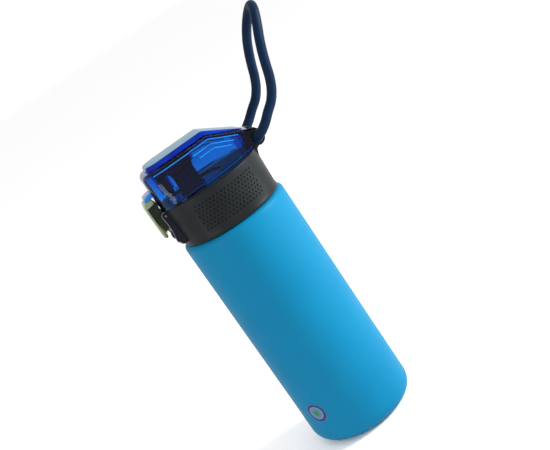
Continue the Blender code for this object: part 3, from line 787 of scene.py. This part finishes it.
def make_collar(material):
    low, foot = COLLAR_LOW_RADIUS, COLLAR_LOW_RADIUS + COLLAR_LIP
    profile = [(COLLAR_TOP_RADIUS - 0.7, COLLAR_TOP)]
    profile += arc((COLLAR_TOP_RADIUS - 0.7, COLLAR_TOP - 0.7), 0.7, 80, 0, 6)
    profile += [(low + 0.1, COLLAR_BOTTOM + 1.6), (low + 0.2, COLLAR_BOTTOM + 1.35),
                (foot, COLLAR_BOTTOM + 1.1), (foot, COLLAR_BOTTOM + 0.25),
                (foot - 0.2, COLLAR_BOTTOM), (COLLAR_BORE, COLLAR_BOTTOM),
                (COLLAR_BORE, DECK_TOP + GAP), (8.0, DECK_TOP + GAP), (8.0, COLLAR_TOP)]
    collar = facing_out(turned("screw_collar", profile, steps=192))
    for side in (-1, 1):
        near, far = sorted((side * 4.0, side * 10.0))
        lug = beveled(side_slab("lug", lug_outline(), near, far), 0.4)
        collar = cut(collar, lug, 'UNION')
    collar = cut(collar, upright_rod("well", WELL_Y, WELL_RADIUS, DECK_TOP - 5.0, COLLAR_TOP + 5.0, 128))
    collar = cut(collar, rod("hinge_bore", (0, HINGE_Y, HINGE_Z), SLEEVE_RADIUS + GAP, THROUGH_HINGE))
    window = EAR_OUTER_X + GAP
    collar = cut(collar, box("window", (-window, FRONT_CLEAR, WINDOW_LOW), (window, -30.6, TOP_CLEAR)))
    collar = cut(collar, grip_dimples())
    finish_piece(collar, material, "cap", "collar", slot="collar_grey")


def make_inner_cap(material):
    profile = [(0.0, DECK_TOP), (CAP_OUTER - 0.4, DECK_TOP), (CAP_OUTER, DECK_TOP - 0.4),
               (CAP_OUTER, CAP_BOTTOM), (CAP_BORE, CAP_BOTTOM), (CAP_BORE, DECK_LOW), (0.0, DECK_LOW)]
    cap = facing_out(turned("cap_liner", profile, steps=128, closed=False))
    thread = helix_bead("cap_thread", CAP_BORE + 0.5, CAP_BORE - THREAD_DEPTH,
                        CAP_THREAD_START, THREAD_TURNS)
    cap = cut(cap, thread, 'UNION')
    vent = [(0.0, NOZZLE_TOP), (VENT_RADIUS - 0.2, NOZZLE_TOP), (VENT_RADIUS, NOZZLE_TOP - 0.2),
            (3.6, DECK_TOP - 0.5), (0.0, DECK_TOP - 0.5)]
    cap = cut(cap, facing_out(turned("nozzle", vent, center=(0, VENT_Y), steps=48, closed=False)), 'UNION')
    cap = cut(cap, rod("vent_hole", (0, VENT_Y, DECK_TOP), 1.6, THROUGH_DECK, 'Z'))
    seat = rod("spout_seat", (0, SPOUT_Y, DECK_TOP), SPOUT_OUTER + GAP, THROUGH_DECK, 'Z', segments=96)
    cap = cut(cap, seat)
    finish_piece(cap, material, "cap", "inner_cap", slot="liner_white")


def make_spout(material):
    flange = SPOUT_OUTER + 1.2
    base = DECK_TOP + GAP
    profile = [(SPOUT_BORE + 0.6, SPOUT_TOP - 0.05)]
    profile += arc((SPOUT_OUTER - 0.6, SPOUT_TOP - 0.6), 0.6, 90, 0, 6)
    profile += [(SPOUT_OUTER, base + 1.7), (SPOUT_OUTER + 0.15, base + 1.35), (SPOUT_OUTER + 0.5, base + 1.2),
                (flange - 0.25, base + 1.2), (flange, base + 0.95), (flange, base), (SPOUT_OUTER, base),
                (SPOUT_OUTER, DECK_LOW - 1.0), (SPOUT_BORE, DECK_LOW - 1.0), (SPOUT_BORE, SPOUT_TOP - 1.5)]
    spout = facing_out(turned("drinking_spout", profile, center=(0, SPOUT_Y), steps=96))
    finish_piece(spout, material, "cap", "spout", slot="navy_silicone")


def make_seal(material):
    low, high = NECK_TOP + GAP, DECK_LOW - GAP
    profile = [(28.5, high), (28.8, high - 0.4), (28.8, low + 0.4), (28.5, low),
               (25.6, low), (25.3, low + 0.4), (25.3, high - 0.4), (25.6, high)]
    seal = facing_out(turned("seal_ring", profile, steps=128))
    finish_piece(seal, material, "cap_riser", "cap_seal_ring", slot="seal_silicone")


# --- latch ------------------------------------------------------------------------------------

def make_latch_housing(material):
    low, top = EAR_LOW, COLLAR_TOP - 1.4
    outline = [(-31.4, low), (-35.4, low), (-38.1, 170.2), (-36.9, 178.0), (-37.1, 184.0),
               (-37.7, top), (-31.4, top)]
    ears = rounded(outline, [0, 1.5, 1.8, 6.0, 0, 2.4, 0])
    housing = side_slab("latch_cheeks", ears, -EAR_OUTER_X, EAR_OUTER_X)
    pocket = box("pocket", (-EAR_INNER_X, FRONT_CLEAR, POCKET_LOW), (EAR_INNER_X, -32.8, TOP_CLEAR))
    housing = cut(housing, pocket)
    housing = beveled(housing, 0.35)
    housing = cut(housing, rod("ear_bore", (0, PIN_Y, PIN_Z), PIN_RADIUS + 0.05, THROUGH_EARS, segments=32))
    finish_piece(housing, material, "cap", "latch_housing", slot="latch_black")


def make_ear_highlight_lines(material):
    """A thin raised line along the front edge of each ear, light grey as a painted highlight on the edge."""
    outline = [(-35.6, 166.5), (-37.2, 168.2), (-38.1, 170.4), (-37.5, 174.0), (-37.0, 178.0),
               (-36.95, 181.0), (-37.1, 184.0), (-37.4, 187.0), (-37.2, 188.8), (-36.2, 189.7),
               (-34.6, 189.8)]
    for side in (-1, 1):
        path = catmull([(side * (EAR_OUTER_X - 0.1), y, z) for y, z in outline], 4)
        highlight_tube = baked(tube("ear_highlight_line_" + ("right" if side > 0 else "left"), path, 0.22))
        finish_piece(highlight_tube, material, "cap", slot="latch_black", angle=60)


def make_latch_button(painted_highlight_material, core_material, painted_shade_material):
    """A pale outer skin with a hook on top, whose paleness is a painted highlight, an olive core, and dark
    cheeks that run to the pin, which are painted shade on the button's shaded sides.
    """
    outline = [(-41.4, 174.4), (-43.1, 176.0), (-43.1, 195.8), (-41.9, 200.5), (-37.2, 200.5), (-36.6, 199.6),
               (-36.6, 197.9), (-37.2, 197.3), (-39.8, 197.0), (-40.5, 195.0), (-40.5, 176.2)]
    face = rounded(outline, [1.0, 0.8, 3.0, 1.5, 0.3, 0.3, 0.3, 0.3, 0.6, 0.6, 0.8])
    half = BUTTON_HALF_WIDTH
    core_low, core_high = (-42.0, 170.0), (-30.0, 196.8)
    skin = beveled(side_slab("push_button", face, -half, half), 0.35, angle=50)
    skin = cut(skin, box("core_room", (-20, *core_low), (20, *core_high)))
    # The pale skin is a painted highlight: olive lightened where the face would catch the light.
    finish_piece(skin, painted_highlight_material, "latch", "latch_button", slot="latch_olive")
    core = side_slab("button_core", face, -half + 0.1, half - 0.1)
    core = cut(core, box("core_form", (-20, *core_low), (20, *core_high)), 'INTERSECT')
    finish_piece(core, core_material, "latch", slot="latch_olive")
    outline = [(-40.4, 178.4), (-42.0, 187.0), (-42.0, 196.8), (-40.0, 199.4), (-35.7, 199.4), (-35.3, 191.5),
               (-35.0, 189.3), (-33.6, 189.3), (-33.6, 185.4), (-37.2, 181.5), (-38.0, 179.4)]
    web = rounded(outline, [0.5, 0.5, 0, 0.4, 0.4, 0, 0, 0.8, 0.8, 1.0, 0.6])
    # The dark cheeks are painted shade on the button's sides.
    for side, label in ((-1, "left"), (1, "right")):
        near, far = sorted((side * (half - 1.5), side * (half - 0.02)))
        cheek = cut(side_slab("button_shade_cheek_" + label, web, near, far),
                    rod("cheek_bore", (0, PIN_Y, PIN_Z), PIN_RADIUS + 0.05, THROUGH_EARS, segments=32))
        finish_piece(cheek, painted_shade_material, "latch", slot="latch_olive")


def make_latch_pin(material):
    pin = beveled(rod("button_pin", (0, PIN_Y, PIN_Z), PIN_RADIUS, 2 * EAR_OUTER_X, segments=32), 0.2)
    finish_piece(pin, material, "cap", "latch_pin", slot="spring_steel")


def make_latch_spring(material):
    low, high = node_box("latch_spring")
    wire, coil, turns = 0.25, 1.8, 5
    start, end = high.y - wire, low.y + wire
    steps = 24 * turns
    path = []
    for i in range(steps + 1):
        angle = 2 * math.pi * turns * i / steps
        y = start + (end - start) * i / steps
        path.append((coil * math.cos(angle), y, SPRING_Z + coil * math.sin(angle)))
    spring = baked(tube("button_spring", path, wire, 3))
    finish_piece(spring, material, "cap", "latch_spring", slot="spring_steel", angle=60)
    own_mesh(spring)


# --- lid --------------------------------------------------------------------------------------

def roof_angle():
    """Angle of the rear slope, which starts at the ridge and ends tangent to the hinge knuckles."""
    run, drop = HINGE_Y - RIDGE_Y, LID_TOP - HINGE_Z
    return math.asin(KNUCKLE_RADIUS / math.hypot(run, drop)) - math.atan2(drop, run)


def roof_height(y):
    return LID_TOP + math.tan(roof_angle()) * max(0.0, y - RIDGE_Y)


def lid_ring(station, inset, low):
    """Cross-section of the lid: flared sides, a soft shoulder and a flat roof."""
    y, rim, shoulder, drop = station
    rim, shoulder = rim - inset, shoulder - inset
    top = roof_height(y) - drop - inset
    height = top - LID_SHOULDER - LID_BOTTOM
    flare = rim - shoulder
    half = [(rim, low), (rim, LID_BOTTOM + 1.0),
            (rim - KNEE_LOW_FLARE * flare, LID_BOTTOM + KNEE_LOW * height),
            (rim - KNEE_HIGH_FLARE * flare, LID_BOTTOM + KNEE_HIGH * height),
            (shoulder, top - LID_SHOULDER), (shoulder - 0.7, top - 1.0), (shoulder - 2.6, top)]
    outline = rounded(mirrored(half), [0, 2.0, 4.0, 3.0, 0.5, 0.6, 0.6, 0.6, 0.6, 0.5, 3.0, 4.0, 2.0, 0], 3)
    return [(x, y, z) for x, z in outline]


def make_flip_lid(material):
    outer = [lid_ring(station, 0.0, LID_BOTTOM - 1.5) for station in finer(LID_STATIONS, 3)]
    back = math.degrees(roof_angle()) + 90.0
    rear = arc((HINGE_Y, HINGE_Z), KNUCKLE_RADIUS, back, -90, 36)
    side = [(-45.0, LID_BOTTOM), (-45.0, 230.0), (rear[0][0], 230.0)] + rear
    side += [(32.0, LID_BOTTOM + 1.0), (31.0, LID_BOTTOM)]
    lid = cut(loft("clear_lid", outer), side_slab("lid_side", side, -30, 30), 'INTERSECT')
    front, end = LID_FRONT + LID_WALL, 29.5
    inner = [lid_ring(station, LID_WALL, LID_BOTTOM - 3.0) for station in finer(LID_STATIONS, 3, front, end)]
    lid = cut(lid, loft("hollow", inner))
    lug_top = HINGE_Z + KNUCKLE_RADIUS + 0.6
    lid = cut(lid, box("lug_room", (-KNUCKLE_INNER_X, 27.0, 180), (KNUCKLE_INNER_X, 50, lug_top)))
    embedded = LID_TOP - LID_WALL + 0.8
    lid = cut(lid, upright_rod("holder", SPOUT_Y, STOPPER_RADIUS + 1.6, HOLDER_LOW, embedded, 96), 'UNION')
    lid = cut(lid, upright_rod("vent_boss", VENT_Y, VENT_RADIUS + 1.3, VENT_BOSS_LOW, embedded, 64), 'UNION')
    seat_radius = STOPPER_RADIUS + GAP
    lid = cut(lid, upright_rod("stopper_seat", SPOUT_Y, seat_radius, SEAT_LOW, STOPPER_TOP + GAP, 96))
    lid = cut(lid, upright_rod("vent_bore", VENT_Y, VENT_RADIUS + GAP, VENT_BORE_LOW, VENT_BORE_TOP, 64))
    catch = side_slab("catch", [(-34.0, 193.4), (-36.2, 194.9), (-36.2, 195.9), (-34.0, 196.8)], -5.0, 5.0)
    lid = cut(lid, beveled(catch, 0.2), 'UNION')
    lid = cut(lid, rod("knuckle_bore", (0, HINGE_Y, HINGE_Z), SLEEVE_RADIUS + 0.02, THROUGH_HINGE))
    finish_piece(lid, material, "lid", "flip_lid", slot="clear_blue")


def make_lid_tab(material):
    """The finger tab, moulded on the lid's front wall above the button."""
    outline = [(LID_FRONT + 0.02, 200.9), (-39.9, 200.9), (-40.6, 201.6), (-39.6, 202.9), (-38.0, 203.4),
               (LID_FRONT + 0.02, 204.0)]
    shape = rounded(outline, [0, 0.4, 0.4, 0.6, 1.0, 0])
    tab = beveled(side_slab("lid_tab", shape, -BUTTON_HALF_WIDTH, BUTTON_HALF_WIDTH), 0.3, angle=50)
    finish_piece(tab, material, "lid", slot="clear_blue")


def wall_point(stations, y, drop):
    """Half width of the lid's outer wall at a depth below the roof."""
    rim, shoulder = [station for station in stations if station[0] >= y][0][1:3]
    flare = rim - shoulder
    height = roof_height(y) - LID_SHOULDER - LID_BOTTOM
    t = (roof_height(y) - drop - LID_BOTTOM) / height
    if t >= KNEE_HIGH:
        share = (t - KNEE_HIGH) / (1.0 - KNEE_HIGH)
        return rim - flare * (KNEE_HIGH_FLARE + (1.0 - KNEE_HIGH_FLARE) * share)
    share = (t - KNEE_LOW) / (KNEE_HIGH - KNEE_LOW)
    return rim - flare * (KNEE_LOW_FLARE + (KNEE_HIGH_FLARE - KNEE_LOW_FLARE) * share)


def make_lid_ribs(material):
    """Fine moulded ribs along the lid's walls, which follow the roof and bend at its ridge."""
    stations = finer(LID_STATIONS, 12)
    ribs = [("shoulder_line", 2.7, -28.0, 29.0, 0.35), ("upper_rib", 5.8, -2.0, 25.0, 0.45),
            ("lower_rib", 8.8, 1.0, 22.0, 0.45)]
    for name, drop, start, end, radius in ribs:
        along = [start + (RIDGE_Y - start) * k / 6 for k in range(7)]
        along += [RIDGE_Y + (end - RIDGE_Y) * k / 4 for k in range(1, 5)]
        for side, label in ((-1, "left"), (1, "right")):
            path = [(side * (wall_point(stations, y, drop) - 0.15), y, roof_height(y) - drop)
                    for y in along]
            rib = baked(tube(name + "_" + label, catmull(path, 3), radius))
            finish_piece(rib, material, "lid", slot="clear_blue", angle=60)


def panel_ring(station):
    y, wide, narrow, drop = station
    low = roof_height(y) + 0.35
    slope = (roof_height(PANEL_END) + 1.0 - PANEL_TOP) / (PANEL_END - RIDGE_Y)
    high = PANEL_TOP + slope * max(0.0, y - RIDGE_Y) - drop
    half = [(wide, low), (wide, low + 0.4), (narrow, high)]
    outline = rounded(mirrored(half), [0, 0.3, 0.3, 0.3, 0.3, 0], 3)
    return [(x, y, z) for x, z in outline]


def make_lid_top_panel(edge_material, top_material):
    """A raised plate whose flat top is a paler sheet than its deep blue edge."""
    panel = loft("lid_plate", [panel_ring(station) for station in finer(PANEL_STATIONS, 3)])
    finish_piece(panel, edge_material, "lid", "lid_top_panel", slot="panel_blue")
    panel.data.materials.append(top_material)
    for polygon in panel.data.polygons:
        if polygon.normal.z > 0.7 and abs(polygon.center.x) < 1.0 * MM:
            polygon.material_index = 1


def make_stopper(material):
    radius, low = STOPPER_RADIUS, SPOUT_TOP + GAP
    profile = [(0.0, STOPPER_TOP), (radius - 0.6, STOPPER_TOP), (radius - 0.2, STOPPER_TOP - 0.2),
               (radius, STOPPER_TOP - 0.6), (radius, 206.0), (radius - 0.2, 205.6), (radius - 0.8, 204.8),
               (SPOUT_OUTER, low), (5.2, low), (4.5, SPOUT_TOP - 3.0), (4.3, SPOUT_TOP - 3.4),
               (3.9, SPOUT_TOP - 3.6), (0.0, SPOUT_TOP - 3.6)]
    stopper = facing_out(turned("stopper_plug", profile, center=(0, SPOUT_Y), steps=96, closed=False))
    finish_piece(stopper, material, "lid", "spout_stopper", slot="navy_silicone")


def make_vent_plug(material):
    tip = VENT_LOW.z
    profile = [(0.0, PLUG_TOP), (VENT_RADIUS - 0.2, PLUG_TOP), (VENT_RADIUS, 208.4), (VENT_RADIUS, 196.5),
               (2.3, tip + 0.3), (2.0, tip), (0.0, tip)]
    plug = facing_out(turned("vent_stopper", profile, center=(0, VENT_Y), steps=48, closed=False))
    finish_piece(plug, material, "lid", "vent_plug", slot="navy_silicone")


def make_sleeve(material):
    sleeve = rod("hinge_tube", (0, HINGE_Y, HINGE_Z), SLEEVE_RADIUS, 2 * SLEEVE_HALF, segments=96)
    sleeve = cut(sleeve, rod("sleeve_bore", (0, HINGE_Y, HINGE_Z), SLEEVE_BORE, THROUGH_HINGE, segments=96))
    sleeve = beveled(sleeve, 0.25)
    finish_piece(sleeve, material, "lid", "hinge_sleeve", slot="collar_grey")


# --- studio -----------------------------------------------------------------------------------

def make_floor():
    """A plain pale disc."""
    mesh = bpy.data.meshes.new("floor")
    bm = bmesh.new()
    bmesh.ops.create_circle(bm, cap_ends=True, segments=96, radius=FLOOR_RADIUS)
    bm.to_mesh(mesh)
    bm.free()
    floor = link(bpy.data.objects.new("floor", mesh))
    mesh.materials.append(base_material("pale_floor", (0.97, 0.97, 0.97), 0.9)[0])


def area_light(name, location, target, size, power):
    """A round white lamp. Its place, target and size are in metres."""
    data = bpy.data.lights.new(name, 'AREA')
    data.shape = 'DISK'
    data.size = size
    data.energy = power
    light = link(bpy.data.objects.new(name, data))
    away = Vector(location) - Vector(target)
    light.matrix_world = Matrix.Translation(location) @ away.to_track_quat('Z', 'Y').to_matrix().to_4x4()


def make_lights():
    world = bpy.data.worlds.new("studio")
    bpy.context.scene.world = world
    world.use_nodes = True
    background = world.node_tree.nodes["Background"]
    background.inputs["Color"].default_value = (1.0, 1.0, 1.0, 1.0)
    background.inputs["Strength"].default_value = 1.0
    target = (0.0, 0.0, 0.15)
    area_light("side_light", (0.3, 0.85, 0.45), target, 0.35, 17.0)
    area_light("front_light", (0.5, -0.8, 0.35), target, 0.4, 2.5)


bpy.context.scene.view_settings.view_transform = 'Standard'
make_camera()
make_strap(silicone("cord_rubber", (0.0, 0.007, 0.024), (0.0003, 0.011, 0.036), 0.5))
BLACK = latch_black()
paint_joiner(BLACK)

GREY = collar_plastic()
NAVY = silicone("navy_silicone", (0.0004, 0.003, 0.02), (0.0008, 0.005, 0.032), 0.5, 0.02)
STEEL = spring_steel()
make_bottle(frosted_bottle())
make_label()
make_collar(GREY)
make_inner_cap(liner_plastic())
make_spout(NAVY)
make_seal(silicone("seal_silicone", (0.72, 0.74, 0.74), (0.82, 0.84, 0.84), 0.55))
make_latch_housing(BLACK)
# The button's pale skin is a painted highlight and its dark cheeks are painted shade.
make_latch_button(latch_painted_highlight(), latch_olive(), latch_painted_shade())
make_ear_highlight_lines(painted_highlight_grey())
make_latch_pin(pin_steel())
make_latch_spring(STEEL)
make_flip_lid(clear_blue())
RIB_BLUE = rib_blue()
make_lid_tab(RIB_BLUE)
make_lid_ribs(RIB_BLUE)
make_lid_top_panel(panel_edge(), panel_top())
make_stopper(NAVY)
make_vent_plug(NAVY)
make_sleeve(GREY)
make_floor()
make_lights()
